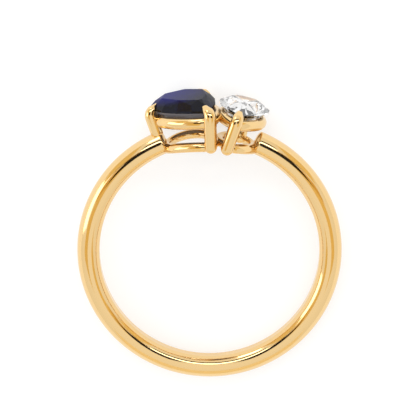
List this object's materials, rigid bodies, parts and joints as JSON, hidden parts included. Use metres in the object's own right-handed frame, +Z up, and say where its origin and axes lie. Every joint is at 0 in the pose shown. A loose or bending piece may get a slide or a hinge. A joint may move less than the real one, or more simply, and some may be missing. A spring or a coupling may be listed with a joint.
{
  "type": "ring",
  "caption": "Toi et moi ring: an open shank with two claw baskets side by side, holding a dark pear stone and a clear pear stone, lying on its side.",
  "frame": {"origin": "middle of the ring's bounding box on the table it lies on", "axes": "+Z up from the table, +Y towards the head with the stones, +X to the diamond's side"},
  "size_m": [0.0208, 0.0232, 0.0073],
  "materials": {
    "gold": "polished yellow gold",
    "sapphire": "faceted dark blue stone",
    "diamond": "faceted clear stone"
  },
  "bodies": {
    "root": {"ring_mount": "gold", "sapphire": "sapphire", "diamond": "diamond"}
  },
  "joints": []
}
